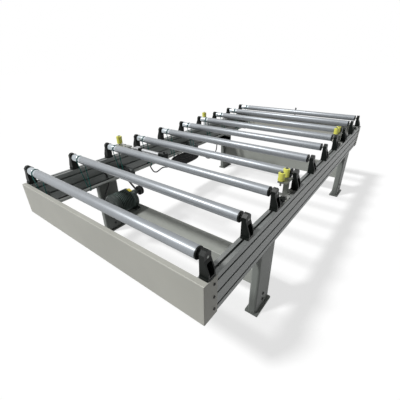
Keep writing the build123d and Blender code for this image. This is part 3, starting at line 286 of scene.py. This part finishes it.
def ring_finned(name, colour, axis, low, high):
    """Enamel with painted shade between the fins and a painted highlight on their rims, set by the distance
    from the axis.
    """
    material, tree, shader = new_material(name)
    place = add(tree, "ShaderNodeTexCoord").outputs["Object"]
    apart = add(tree, "ShaderNodeSeparateXYZ")
    tree.links.new(place, apart.inputs[0])
    sideways = math_node(tree, "SUBTRACT", apart.outputs["X"], axis[0])
    upward = math_node(tree, "SUBTRACT", apart.outputs["Z"], axis[1])
    sideways_squared = math_node(tree, "POWER", sideways, 2.0)
    upward_squared = math_node(tree, "POWER", upward, 2.0)
    squares = math_node(tree, "ADD", sideways_squared, upward_squared)
    reach = math_node(tree, "SQRT", squares)
    group = place_group(tree, MOTTLE, Scale=6.0, Grain_Scale=500.0)
    span = math_node(tree, "DIVIDE", math_node(tree, "SUBTRACT", reach, low), high - low)
    rim_highlight_and_gap_shade = math_node(tree, "MULTIPLY", span, spread(tree, group.outputs["Patches"], 0.6, 1.1))
    # Painted shade between the fins, at 0.15 of the colour, and a painted highlight on the rims, at 3.4 of it
    base = ramp(tree, rim_highlight_and_gap_shade, shade(colour, 0.15), shade(colour, 3.4), 0.35, 1.0)
    tree.links.new(dusted(tree, base, 0.05), shader.inputs["Base Color"])
    tree.links.new(spread(tree, group.outputs["Patches"], 0.34, 0.48), shader.inputs["Roughness"])
    shader.inputs["Specular IOR Level"].default_value = 0.35
    bump(tree, shader, group.outputs["Grain"], 0.0004, 0.12)
    return material


# How fine the drawn lines lie along each axis
ALONG_X = (2.0, 400.0, 400.0)
ALONG_Y = (380.0, 1.5, 380.0)
ALONG_Z = (60.0, 60.0, 4.0)
NO_LAY = (60.0, 60.0, 60.0)
ROUND_X = (900.0, 6.0, 6.0)
ROUND_Y = (6.0, 900.0, 6.0)

RAIL = drawn_metal("anodised_rail", (0.222, 0.236, 0.230), ALONG_Y, 0.28, 0.40, 0.0003)
BARREL = drawn_metal("anodised_barrel", (0.50, 0.51, 0.52), ALONG_X, 0.8, 0.34, 0.0002)
STEEL = drawn_metal("zinc_plate", (0.38, 0.39, 0.37), NO_LAY, 0.8, 0.38, 0.0002)
POST = drawn_metal("milled_post", (0.17, 0.18, 0.16), ALONG_Z, 0.5, 0.45, 0.0002)
BLACKED = drawn_metal("black_oxide", (0.02, 0.02, 0.02), NO_LAY, 0.6, 0.4, 0.0001, 0.02)
SHAFT = drawn_metal("ground_shaft", (0.20, 0.21, 0.20), ROUND_Y, 0.85, 0.38, 0.0001, 0.05)
TUBE = drawn_metal("bare_tube", (0.52, 0.57, 0.60), ROUND_X, 0.9, 0.22, 0.0001, 0.03)
SLEEVE = drawn_metal("roller_sleeve", (0.32, 0.342, 0.364), ROUND_X, 0.35, 0.4, 0.0001, 0.04)
COVER = painted("cover_paint", (0.47, 0.47, 0.425), 0.48, 700.0, 0.1, 0.3)
LEG = painted("leg_paint", (0.20, 0.215, 0.20), 0.45, 700.0, 0.1, 0.35)
BEAM = painted("beam_paint", (0.345, 0.36, 0.33), 0.45, 700.0, 0.1, 0.4)
MOTOR = painted("motor_enamel", (0.040, 0.055, 0.050), 0.36, 500.0, 0.06, 0.35)
COWL = painted("cowl_enamel", (0.035, 0.046, 0.042), 0.4, 500.0, 0.06, 0.35)
CAST = painted("cast_paint", (0.09, 0.10, 0.10), 0.5, 260.0, 0.2)
BLACK = moulded("black_nylon", (0.007, 0.009, 0.008), 0.36, 800.0, 0.02, 0.14)
PULLEY = painted("blacked_iron", (0.020, 0.022, 0.022), 0.4, 600.0, 0.04, 0.35)
ROUND_BELT = moulded("round_belt", (0.006, 0.115, 0.100), 0.4, 200.0, 0.02, 0.3)
V_BELT = moulded("v_belt", (0.010, 0.010, 0.010), 0.7, 900.0, 0.03, 0.2)
YELLOW = moulded("yellow_roller", (0.90, 0.87, 0.15), 0.35, 500.0, 0.02)
PLATE = painted("plate_paint", (0.80, 0.66, 0.08), 0.4, 900.0, 0.03)
CABLE = moulded("cable_jacket", (0.009, 0.009, 0.010), 0.45, 900.0, 0.02, 0.3)

# Materials by the record's slots, and by node where the photograph shows another finish
MATERIAL_OF_SLOT = {
    "rail": RAIL,
    "cover": COVER,
    "leg": LEG,
    "steel_zinc": STEEL,
    "roller": SLEEVE,
    "black_plastic": BLACK,
    "shaft": SHAFT,
    "cast": CAST,
    "pulley": PULLEY,
    "round_belt": ROUND_BELT,
    "v_belt": V_BELT,
    "motor": MOTOR,
    "cowl": COWL,
    "cylinder": BARREL,
    "yellow": YELLOW,
    "cable": CABLE,
    "hose": CABLE,
}

MATERIAL_OF_NODE = {
    "cross_beam_near": BEAM,
    "cross_beam_far": BEAM,
    "cover_screws": BLACKED,
    "frame_bolts": BLACKED,
    "guide_posts": POST,
}

# Clamp knobs stand in front of their bars and above the rail's tongue
BAR_PLACES = (0.790, 1.990, 2.668)
KNOB_BOTTOM = 0.6545
KNOB_REACH = (-0.058, -0.0185)


def on_knob(centre):
    near = any(KNOB_REACH[0] < centre.y - along(place) < KNOB_REACH[1] for place in BAR_PLACES)
    return near and centre.z > KNOB_BOTTOM


def dress_frame():
    slot_of_node = {part["node"]: part["material_slot"] for part in frame["record"]["subparts"]}
    for name, node in nodes.items():
        node.data.materials.clear()
        node.data.materials.append(MATERIAL_OF_NODE.get(name, MATERIAL_OF_SLOT[slot_of_node[name]]))
    bars = nodes["clamp_bars"].data
    bars.materials.append(BLACK)
    for face in bars.polygons:
        face.material_index = int(on_knob(face.center))


def add_camera():
    data = bpy.data.cameras.new("camera")
    data.sensor_width = SENSOR_WIDTH
    data.lens = FOCAL_PIXELS / FRAME_PIXELS * data.sensor_width
    data.shift_x = (FRAME_PIXELS / 2 - CENTRE_PIXELS[0]) / FRAME_PIXELS
    data.shift_y = (CENTRE_PIXELS[1] - FRAME_PIXELS / 2) / FRAME_PIXELS
    camera = bpy.data.objects.new("camera", data)
    bpy.context.scene.collection.objects.link(camera)
    turn = Matrix.Rotation(-CAMERA_YAW, 4, "Z")
    tilt = Matrix.Rotation(math.pi / 2 + CAMERA_PITCH, 4, "X")
    roll = Matrix.Rotation(-CAMERA_ROLL, 4, "Z")
    camera.matrix_world = Matrix.Translation(CAMERA_PLACE) @ turn @ tilt @ roll
    bpy.context.scene.camera = camera


# Studio: one soft sun, a white world and a floor that the eye sees as white
SUN_PLACE = (-1.15, -1.7, 2.6)
SUN_ANGLE = 0.14
SUN_STRENGTH = 3.1
WORLD_LIGHT = 0.13
FLOOR_SIZE = 60
FLOOR_GREY = 0.34
FLOOR_GLOW = 0.70
WHITE = (1, 1, 1, 1)


def add_sun():
    data = bpy.data.lights.new("key", "SUN")
    data.angle = SUN_ANGLE
    data.energy = SUN_STRENGTH
    lamp = bpy.data.objects.new("key", data)
    bpy.context.scene.collection.objects.link(lamp)
    lamp.location = SUN_PLACE
    lamp.rotation_euler = (-Vector(SUN_PLACE)).to_track_quat("-Z", "Y").to_euler()


def seen_directly(tree):
    """1 for what the eye sees, also in a mirror or through glass, and 0 for the light on other faces."""
    path = tree.nodes.new("ShaderNodeLightPath")
    eye_or_mirror = math_node(tree, "MAXIMUM", path.outputs["Is Camera Ray"], path.outputs["Is Glossy Ray"])
    return math_node(tree, "MAXIMUM", eye_or_mirror, path.outputs["Is Transmission Ray"])


def add_floor():
    bpy.ops.mesh.primitive_plane_add(size=FLOOR_SIZE)
    floor = bpy.context.object
    floor.name = "floor"
    material, tree, shader = new_material("floor_paint")
    shader.inputs["Base Color"].default_value = (FLOOR_GREY, FLOOR_GREY, FLOOR_GREY, 1)
    shader.inputs["Roughness"].default_value = 0.95
    shader.inputs["Specular IOR Level"].default_value = 0.0
    shader.inputs["Emission Color"].default_value = WHITE
    glow = math_node(tree, "MULTIPLY", seen_directly(tree), FLOOR_GLOW)
    tree.links.new(glow, shader.inputs["Emission Strength"])
    floor.data.materials.append(material)


def add_world():
    world = bpy.data.worlds.new("studio")
    bpy.context.scene.world = world
    world.use_nodes = True
    tree = world.node_tree
    background = tree.nodes["Background"]
    background.inputs["Color"].default_value = WHITE
    strength = spread(tree, seen_directly(tree), WORLD_LIGHT, 1.0)
    tree.links.new(strength, background.inputs["Strength"])


def round_curve(name, points, diameter, sides, steps):
    """A curve of one spline with a round section, and that spline."""
    data = bpy.data.curves.new(name, "CURVE")
    data.dimensions = "3D"
    data.bevel_depth = diameter / 2
    data.bevel_resolution = sides
    spline = data.splines.new("NURBS")
    spline.points.add(len(points) - 1)
    for point, place in zip(spline.points, points):
        point.co = (*place, 1)
    spline.order_u = 3
    spline.resolution_u = steps
    curve = bpy.data.objects.new(name, data)
    bpy.context.scene.collection.objects.link(curve)
    return curve, spline


# Cords: routes along the tubes of the solids, the last one led on to the gland
CABLE_DIAMETER = 0.009
HOSE_DIAMETER = 0.012

MOTOR_CABLE = [
    spot(-0.678, 0.521, 0.604),
    spot(-0.678, 0.549, 0.577),
    spot(-0.677, 0.577, 0.539),
    spot(-0.676, 0.591, 0.494),
    spot(-0.674, 0.586, 0.450),
    spot(-0.666, 0.566, 0.424),
    spot(-0.652, 0.540, 0.408),
    spot(-0.630, 0.510, 0.391),
    spot(-0.594, 0.462, 0.377),
    spot(-0.5745, 0.439, 0.370),
    spot(-0.5515, 0.433, 0.368),
    spot(-0.5285, 0.442, 0.369),
    spot(-0.5155, 0.462, 0.371),
    spot(-0.5155, 0.484, 0.371),
]

AIR_HOSE_START = [
    spot(-0.677, 1.046, 0.472),
    spot(-0.677, 1.056, 0.440),
    spot(-0.681, 1.076, 0.404),
    spot(-0.688, 1.104, 0.369),
    spot(-0.694, 1.142, 0.353),
    spot(-0.697, 1.184, 0.360),
    spot(-0.699, 1.222, 0.370),
    spot(-0.700, 1.262, 0.366),
    spot(-0.702, 1.304, 0.350),
    spot(-0.707, 1.340, 0.352),
    spot(-0.709, 1.370, 0.361),
]

AIR_HOSE_END = [
    spot(-0.709, 1.840, 0.361),
    spot(-0.703, 1.876, 0.354),
    spot(-0.695, 1.912, 0.318),
    spot(-0.689, 1.952, 0.272),
    spot(-0.687, 2.000, 0.240),
    spot(-0.687, 2.054, 0.232),
    spot(-0.688, 2.104, 0.246),
    spot(-0.692, 2.148, 0.270),
    spot(-0.700, 2.186, 0.282),
    spot(-0.709, 2.217, 0.316),
    spot(-0.709, 2.219, 0.356),
]


def add_cord(node, points, diameter):
    cord, spline = round_curve(node + "_line", points, diameter, 5, 8)
    spline.use_endpoint_u = True
    cord.data.use_fill_caps = True
    cord.data.materials.append(CABLE)
    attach(cord, "frame")
    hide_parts(node)


# Turned pieces: a disc that is drawn out along an axis and widened or narrowed at each step
TURN = {"X": (0, math.pi / 2, 0), "Y": (-math.pi / 2, 0, 0), "Z": (0, 0, 0)}


def turned(name, place, axis, outline, material, sides=48):
    line = "XYZ".index(axis)
    centre = list(place)
    centre[line] += outline[0][0]
    bpy.ops.object.select_all(action="DESELECT")
    bpy.ops.mesh.primitive_circle_add(
        vertices=sides, radius=outline[0][1], fill_type="NGON", location=centre, rotation=TURN[axis]
    )
    piece = bpy.context.object
    piece.name = name
    bpy.ops.object.mode_set(mode="EDIT")
    bpy.ops.mesh.select_all(action="SELECT")
    for (here, old), (there, new) in zip(outline, outline[1:]):
        step = [0.0, 0.0, 0.0]
        step[line] = there - here
        centre[line] += there - here
        bpy.ops.mesh.extrude_region_move(TRANSFORM_OT_translate={"value": step})
        if new != old:
            growth = [new / old] * 3
            growth[line] = 1.0
            bpy.ops.transform.resize(value=growth, center_override=centre)
    bpy.ops.mesh.select_all(action="SELECT")
    bpy.ops.mesh.normals_make_consistent(inside=False)
    bpy.ops.object.mode_set(mode="OBJECT")
    bpy.ops.object.transform_apply(location=True, rotation=True, scale=True)
    bpy.ops.object.shade_smooth_by_angle(angle=0.5)
    piece.data.materials.append(material)
    return piece


def another(piece, name, shift):
    twin = piece.copy()
    twin.data = piece.data.copy()
    twin.name = name
    bpy.context.scene.collection.objects.link(twin)
    twin.data.transform(Matrix.Translation(shift))
    return twin


# Rollers
ROLLER_COUNT = 10
AXLE_HEIGHT = 0.740
FIRST_ROLLER = 0.055
ROLLER_PITCH = 0.300
TUBE_END = 0.670
BARE_END = 0.098
BELT_GROOVE = 0.067
TUBE_RADIUS = 0.025
GROOVE_RADIUS = 0.0215
SLEEVE_RADIUS = 0.027
CAP_RADIUS = 0.0275


def bare_tube(place):
    groove = BELT_GROOVE
    outline = [
        (0.0, TUBE_RADIUS - 0.001),
        (0.0004, TUBE_RADIUS),
        (groove - 0.011, TUBE_RADIUS),
        (groove - 0.008, TUBE_RADIUS - 0.0006),
        (groove - 0.0055, GROOVE_RADIUS + 0.0013),
        (groove - 0.0035, GROOVE_RADIUS + 0.0002),
        (groove, GROOVE_RADIUS),
        (groove + 0.0035, GROOVE_RADIUS + 0.0002),
        (groove + 0.0055, GROOVE_RADIUS + 0.0013),
        (groove + 0.008, TUBE_RADIUS - 0.0006),
        (groove + 0.011, TUBE_RADIUS),
        (BARE_END, TUBE_RADIUS),
    ]
    return turned("bare_tube_01", (cad_x(-TUBE_END), place, AXLE_HEIGHT), "X", outline, TUBE)


def sleeve(place):
    reach = 2 * TUBE_END - BARE_END
    outline = [
        (0.0, SLEEVE_RADIUS - 0.001),
        (0.0005, SLEEVE_RADIUS - 0.0003),
        (0.0014, SLEEVE_RADIUS),
        (reach - 0.0014, SLEEVE_RADIUS),
        (reach - 0.0005, SLEEVE_RADIUS - 0.0003),
        (reach, SLEEVE_RADIUS - 0.001),
    ]
    return turned("sleeve_01", (cad_x(BARE_END - TUBE_END), place, AXLE_HEIGHT), "X", outline, SLEEVE)


def end_cap(name, place, side):
    outline = [
        (0.0, CAP_RADIUS - 0.0008),
        (0.0006, CAP_RADIUS),
        (0.0052, CAP_RADIUS),
        (0.0068, CAP_RADIUS - 0.0014),
        (0.0070, CAP_RADIUS - 0.0030),
        (0.0070, 0.0195),
        (0.0052, 0.0188),
        (0.0052, 0.0125),
        (0.0066, 0.0120),
        (0.0066, 0.0063),
    ]
    drawn = [(side * distance, radius) for distance, radius in outline]
    return turned(name, (cad_x(side * TUBE_END), place, AXLE_HEIGHT), "X", drawn, BLACK)


def add_rollers():
    first = along(FIRST_ROLLER)
    pieces = [
        bare_tube(first),
        sleeve(first),
        end_cap("cap_left_01", first, -1),
        end_cap("cap_right_01", first, 1),
    ]
    for number in range(1, ROLLER_COUNT + 1):
        body = f"roller_{number:02d}"
        shift = (0, (number - 1) * ROLLER_PITCH, 0)
        for piece in pieces:
            part = piece
            if number > 1:
                part = another(piece, f"{piece.name[:-3]}_{number:02d}", shift)
            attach(part, body)
            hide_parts(body)


# Upright yellow rollers
def add_yellow_roller(node):
    low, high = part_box(node)
    radius = (high[0] - low[0]) / 2
    x = (high[0] + low[0]) / 2
    y = (high[1] + low[1]) / 2
    height = high[2] - low[2]
    edge = 0.0018
    outline = [
        (0.0, 0.0070),
        (0.0, radius - edge - 0.0012),
        (0.0006, radius - edge),
        (edge, radius),
        (height / 2, radius - 0.0004),
        (height - edge, radius),
        (height - 0.0006, radius - edge),
        (height, radius - edge - 0.0012),
        (height, 0.0125),
        (height - 0.0016, 0.0118),
        (height - 0.0016, 0.0070),
    ]
    tyre = turned(node + "_tyre", (x, y, low[2]), "Z", outline, YELLOW, 40)
    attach(tyre, node)
    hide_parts(node)


# Motor: ring fins round the body, a cowl with a grille behind it, a blank plate on top
MOTOR_AXIS = (-0.427, 0.391)
MOTOR_START = 0.456
MOTOR_END = 0.584
FIN_COUNT = 9
CORE_RADIUS = 0.070
FIN_RADIUS = 0.080
FLANGE_WIDTH = 0.008
COWL_RADIUS = 0.084
COWL_LENGTH = 0.034
GRILLE_RINGS = 6
FIRST_RING = 0.010
RING_PITCH = 0.0105
RING_WIDTH = 0.0055
RING_DEPTH = 0.0030

FINS_AXIS = (cad_x(MOTOR_AXIS[0]), MOTOR_AXIS[1])
# Motor body's enamel, with painted shade between the fins and a painted highlight on their rims
FINS = ring_finned("fin_enamel", (0.040, 0.055, 0.050), FINS_AXIS, CORE_RADIUS, FIN_RADIUS)


def motor_disc(name, distance, outline, material):
    x, z = MOTOR_AXIS
    return turned(name, spot(x, distance, z), "Y", outline, material, 64)


def add_motor_body():
    length = MOTOR_END - MOTOR_START
    pitch = (length - FLANGE_WIDTH) / FIN_COUNT
    outline = [(0.0, CORE_RADIUS)]
    for number in range(FIN_COUNT):
        start = pitch * (number + 0.3)
        outline.append((start, CORE_RADIUS))
        outline.append((start + 0.0006, FIN_RADIUS - 0.0008))
        outline.append((start + 0.0014, FIN_RADIUS))
        outline.append((start + 0.0042, FIN_RADIUS))
        outline.append((start + 0.0050, FIN_RADIUS - 0.0008))
        outline.append((start + 0.0056, CORE_RADIUS))
    outline.append((length - FLANGE_WIDTH, CORE_RADIUS))
    outline.append((length - FLANGE_WIDTH, FIN_RADIUS))
    outline.append((length - 0.001, FIN_RADIUS))
    outline.append((length, FIN_RADIUS - 0.001))
    body = motor_disc("motor_housing", MOTOR_START, outline, FINS)
    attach(body, "frame")
    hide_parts("motor_body")


def add_motor_cowl():
    outline = [(0.0, 0.008)]
    for ring in range(GRILLE_RINGS):
        inner = FIRST_RING + RING_PITCH * ring
        outline.append((0.0, inner))
        outline.append((RING_DEPTH, inner))
        outline.append((RING_DEPTH, inner + RING_WIDTH))
        outline.append((0.0, inner + RING_WIDTH))
    outline += [
        (0.0, COWL_RADIUS - 0.012),
        (0.0012, COWL_RADIUS - 0.0065),
        (0.0038, COWL_RADIUS - 0.0024),
        (0.0085, COWL_RADIUS),
        (COWL_LENGTH - 0.008, COWL_RADIUS),
        (COWL_LENGTH - 0.0074, COWL_RADIUS - 0.0012),
        (COWL_LENGTH - 0.0066, COWL_RADIUS - 0.0012),
        (COWL_LENGTH - 0.006, COWL_RADIUS),
        (COWL_LENGTH, COWL_RADIUS),
        (COWL_LENGTH, COWL_RADIUS - 0.003),
    ]
    start = MOTOR_START - COWL_LENGTH
    cowl = motor_disc("fan_cowl", start, outline, COWL)
    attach(cowl, "frame")
    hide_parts("motor_cowl")


PLATE_TILT = 0.30
PLATE_PLACE = 0.579
PLATE_SIZE = (0.036, 0.026, 1)
PLATE_THICKNESS = 0.0009


def add_plate():
    x, z = MOTOR_AXIS
    reach = FIN_RADIUS + 0.0006
    place = spot(x + reach * math.sin(PLATE_TILT), PLATE_PLACE, z + reach * math.cos(PLATE_TILT))
    bpy.ops.object.select_all(action="DESELECT")
    bpy.ops.mesh.primitive_plane_add(size=1, location=place, rotation=(0, PLATE_TILT, 0))
    plate = bpy.context.object
    plate.name = "blank_plate"
    plate.scale = PLATE_SIZE
    bpy.ops.object.transform_apply(location=True, rotation=True, scale=True)
    bpy.ops.object.mode_set(mode="EDIT")
    bpy.ops.mesh.select_all(action="SELECT")
    bpy.ops.mesh.bevel(offset=0.003, segments=3, affect="VERTICES")
    bpy.ops.mesh.select_all(action="SELECT")
    bpy.ops.mesh.extrude_region_move(TRANSFORM_OT_translate={"value": (0, 0, PLATE_THICKNESS)})
    bpy.ops.mesh.select_all(action="SELECT")
    bpy.ops.mesh.normals_make_consistent(inside=False)
    bpy.ops.object.mode_set(mode="OBJECT")
    plate.data.materials.append(PLATE)
    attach(plate, "frame")


# Valve box under the left rail, and a gland for the hose. Known fault: the first press_lid takes the whole box,
# so three skins lie in one another, some facing inward, and the lid's frame also stands out on the far side
BOX_LOW = Vector(spot(-0.731, 2.189, 0.366))
BOX_HIGH = Vector(spot(-0.591, 2.339, 0.448))
LID_BORDER = 0.007
LID_GROOVE_WIDTH = 0.0015
LID_GROOVE_DEPTH = 0.002
GLAND_OUTLINE = [(0, 0.008), (0.001, 0.010), (0.0104, 0.010)]


def soften(piece, width):
    bevel = piece.modifiers.new("edges", "BEVEL")
    bevel.width = width
    bevel.segments = 2
    bevel.limit_method = "ANGLE"
    bpy.ops.object.select_all(action="DESELECT")
    piece.select_set(True)
    bpy.context.view_layer.objects.active = piece
    bpy.ops.object.modifier_apply(modifier="edges")
    bpy.ops.object.shade_smooth_by_angle(angle=0.6)


def press_lid(box, direction):
    for face in box.data.polygons:
        face.select = face.normal.dot(direction) > 0.9
    bpy.ops.object.mode_set(mode="EDIT")
    bpy.ops.mesh.select_mode(type="FACE")
    bpy.ops.mesh.inset(thickness=LID_BORDER)
    bpy.ops.mesh.extrude_region_move(TRANSFORM_OT_translate={"value": direction * -LID_GROOVE_DEPTH})
    bpy.ops.mesh.inset(thickness=LID_GROOVE_WIDTH)
    bpy.ops.mesh.extrude_region_move(TRANSFORM_OT_translate={"value": direction * LID_GROOVE_DEPTH})
    bpy.ops.mesh.select_all(action="DESELECT")
    bpy.ops.object.mode_set(mode="OBJECT")


def add_valve_box():
    bpy.ops.object.select_all(action="DESELECT")
    bpy.ops.mesh.primitive_cube_add(size=1, location=(BOX_LOW + BOX_HIGH) / 2)
    box = bpy.context.object
    box.name = "valve_case"
    box.scale = BOX_HIGH - BOX_LOW
    bpy.ops.object.transform_apply(location=True, rotation=True, scale=True)
    press_lid(box, Vector((1, 0, 0)))
    press_lid(box, Vector((0, -1, 0)))
    soften(box, 0.0012)
    box.data.materials.append(BLACK)
    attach(box, "frame")
    gland = turned("valve_gland", AIR_HOSE_END[-1], "Z", GLAND_OUTLINE, BLACK, 24)
    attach(gland, "frame")
    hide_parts("valve_box")
    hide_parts("valve_box")


# Hank of air hose: rows of long turns that lie in one another
HANK_X = -0.709
HANK_Y = 1.605
HANK_Z = 0.361
HANK_HALF_LENGTH = 0.235
HANK_HALF_HEIGHT = 0.065
HANK_LAYERS = 5
HANK_ROWS = (-1, 0, 1)
HANK_SLACK = 0.0016
HALF_TURN = [(0.0, 1.0), (0.71, 0.71), (1.0, 0.0), (0.71, -0.71), (0.0, -1.0)]


def turn_points(inset, x, slack):
    """One turn: two half circles with straight runs between them that sag a little."""
    bend = HANK_HALF_HEIGHT - inset
    straight = HANK_HALF_LENGTH - HANK_HALF_HEIGHT
    points = []
    for side in (1, -1):
        for across, up in HALF_TURN:
            points.append((x, side * (straight + across * bend), side * up * bend))
        points.append((x + slack, -side * 0.35 * straight, -side * bend - slack))
    return [spot(HANK_X + a, HANK_Y + b, HANK_Z + c) for a, b, c in points]


def add_hank():
    turns = []
    for layer in range(HANK_LAYERS):
        for row in HANK_ROWS:
            slack = HANK_SLACK * math.sin(5.0 * layer + 3.0 * row)
            points = turn_points(HOSE_DIAMETER * (layer + 0.5), row * HOSE_DIAMETER, slack)
            turn, spline = round_curve("hose_turn", points, HOSE_DIAMETER, 3, 5)
            spline.use_cyclic_u = True
            turns.append(turn)
    bpy.ops.object.select_all(action="DESELECT")
    for turn in turns:
        turn.select_set(True)
    bpy.context.view_layer.objects.active = turns[0]
    bpy.ops.object.convert(target="MESH")
    bpy.ops.object.join()
    hank = bpy.context.object
    hank.name = "hose_hank"
    bpy.ops.object.shade_smooth()
    hank.data.materials.clear()
    hank.data.materials.append(CABLE)
    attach(hank, "frame")
    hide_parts("air_hose_hank")


dress_frame()
add_rollers()
for number in (1, 2):
    add_yellow_roller(f"pusher_roller_{number}")
for number in (1, 2, 3, 4):
    add_yellow_roller(f"guide_roller_{number}")
add_motor_body()
add_motor_cowl()
add_plate()
add_valve_box()
add_cord("motor_cable", MOTOR_CABLE, CABLE_DIAMETER)
add_cord("air_hose_start", AIR_HOSE_START, HOSE_DIAMETER)
add_cord("air_hose_end", AIR_HOSE_END, HOSE_DIAMETER)
add_hank()
add_camera()
add_floor()
add_world()
add_sun()

bpy.context.scene.view_settings.view_transform = "Standard"
